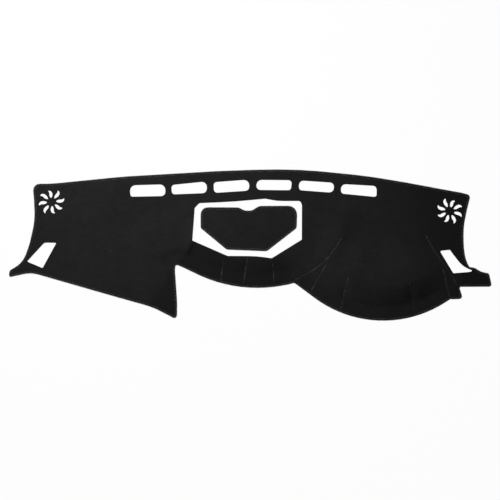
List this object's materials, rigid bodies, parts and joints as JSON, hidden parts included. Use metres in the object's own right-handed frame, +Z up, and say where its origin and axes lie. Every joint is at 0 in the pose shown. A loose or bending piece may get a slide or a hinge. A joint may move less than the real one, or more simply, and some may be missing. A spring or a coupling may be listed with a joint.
{
  "type": "dashboard cover mat",
  "caption": "Felt mat that covers a car's dashboard, with a darted hood for the instruments, demister slots, speaker slits, side cut-outs and a loose centre insert.",
  "frame": {"origin": "middle of the mat's length and depth, on the surface that the mat lies on", "axes": "+X along the windscreen edge towards the end with the instrument hood, +Y towards the windscreen, +Z up out of the pile"},
  "size_m": [1.4478, 0.4548, 0.038],
  "materials": {
    "felt": "matt needled felt with a short pile",
    "edging_yarn": "overlocked yarn with a slight sheen"
  },
  "bodies": {
    "root": {"felt_mat": "felt", "mat_edging": "edging_yarn", "centre_insert": "felt", "insert_edging": "edging_yarn"}
  },
  "joints": []
}
